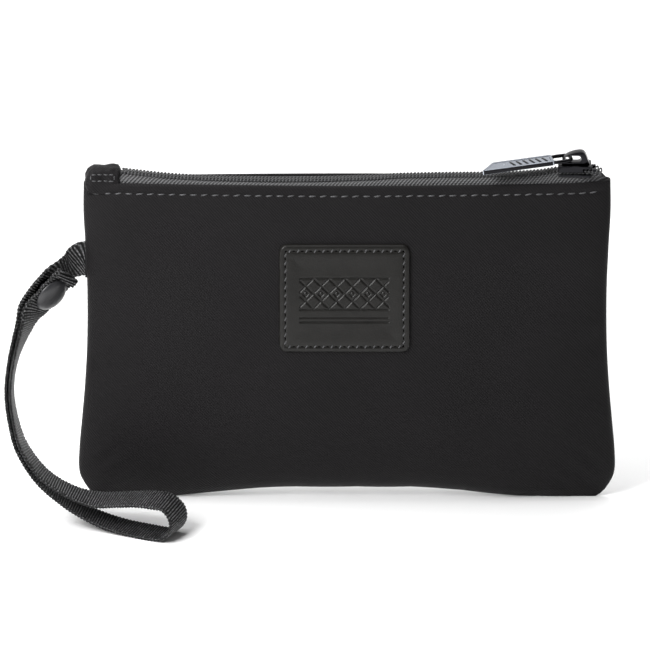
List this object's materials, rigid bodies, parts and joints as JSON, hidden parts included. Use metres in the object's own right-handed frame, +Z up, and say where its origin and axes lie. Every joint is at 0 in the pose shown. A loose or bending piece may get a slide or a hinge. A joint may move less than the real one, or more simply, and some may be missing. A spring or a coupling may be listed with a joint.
{
  "type": "zippered pouch",
  "caption": "Flat stuffed fabric pouch with a coil zipper, metal slider and pull, stitched leather patch and a webbing wrist strap closed by a press stud.",
  "frame": {"origin": "middle of the flat bottom edge that the pouch stands on", "axes": "+Z up to the zipper, +X along the zipper towards its closed end, -Y out of the front that carries the patch"},
  "size_m": [0.2449, 0.072, 0.1468],
  "materials": {
    "shell_cloth": "black nylon twill, fine diagonal rib, slight sheen",
    "lining_cloth": "plain black woven nylon",
    "zipper_tape": "black woven herringbone tape",
    "zipper_coil": "black nylon coil",
    "thread": "black bonded nylon thread",
    "patch_leather": "black smooth leather, satin",
    "webbing": "black ribbed nylon webbing, glossy ribs",
    "dark_nickel": "polished black nickel",
    "pull_metal": "pale polished gunmetal",
    "spring_steel": "plain spring steel",
    "snap_cap": "black painted dome with a bright rim"
  },
  "bodies": {
    "pouch": {"back_panel": "shell_cloth", "back_lining": "lining_cloth", "back_topstitching": "thread", "back_zipper_tape": "zipper_tape", "back_zipper_coil": "zipper_coil", "top_stops": "dark_nickel", "bottom_stop": "dark_nickel", "zipper_end_tab": "shell_cloth", "strap_anchor": "webbing"},
    "front_half": {"front_panel": "shell_cloth", "front_lining": "lining_cloth", "front_topstitching": "thread", "front_zipper_tape": "zipper_tape", "front_zipper_coil": "zipper_coil", "label_patch": "patch_leather", "label_stitching": "thread"},
    "slider": {"slider_body": "dark_nickel", "slider_crown": "dark_nickel", "slider_lock_spring": "spring_steel"},
    "pull": {"pull_tab": "pull_metal"},
    "wrist_strap": {"strap_webbing": "webbing", "snap_stud": "dark_nickel", "snap_post": "dark_nickel"},
    "flap": {"strap_flap": "webbing", "snap_socket": "dark_nickel", "snap_cap": "snap_cap"}
  },
  "joints": [
    {"name": "slider_slide", "type": "slide", "parent": "pouch", "child": "slider", "axis": [-1, 0, 0], "range_m": [0, 0.17], "deforming": ["front_zipper_tape", "back_zipper_tape", "front_zipper_coil", "back_zipper_coil"]},
    {"name": "mouth_open", "type": "hinge", "parent": "pouch", "child": "front_half", "pos_m": [0, -0.00465, 0], "axis": [1, 0, 0], "range_deg": [0, 8.2]},
    {"name": "pull_turn", "type": "hinge", "parent": "slider", "child": "pull", "pos_m": [0.0885, 0, 0.1439], "axis": [-0.1736, 0.9848, 0], "range_deg": [0, 140]},
    {"name": "strap_swing", "type": "hinge", "parent": "pouch", "child": "wrist_strap", "pos_m": [-0.1056, 0, 0.1009], "axis": [0, 0, 1], "range_deg": [-70, 0]},
    {"name": "snap_peel", "type": "hinge", "parent": "wrist_strap", "child": "flap", "pos_m": [-0.1249, -0.00906, 0.08218], "axis": [0.4283, 0.7033, -0.5674], "range_deg": [0, 32]}
  ],
  "couplings": [
    {"joint": "mouth_open", "follows": "slider_slide", "rad_per_m": 0.82133}
  ]
}
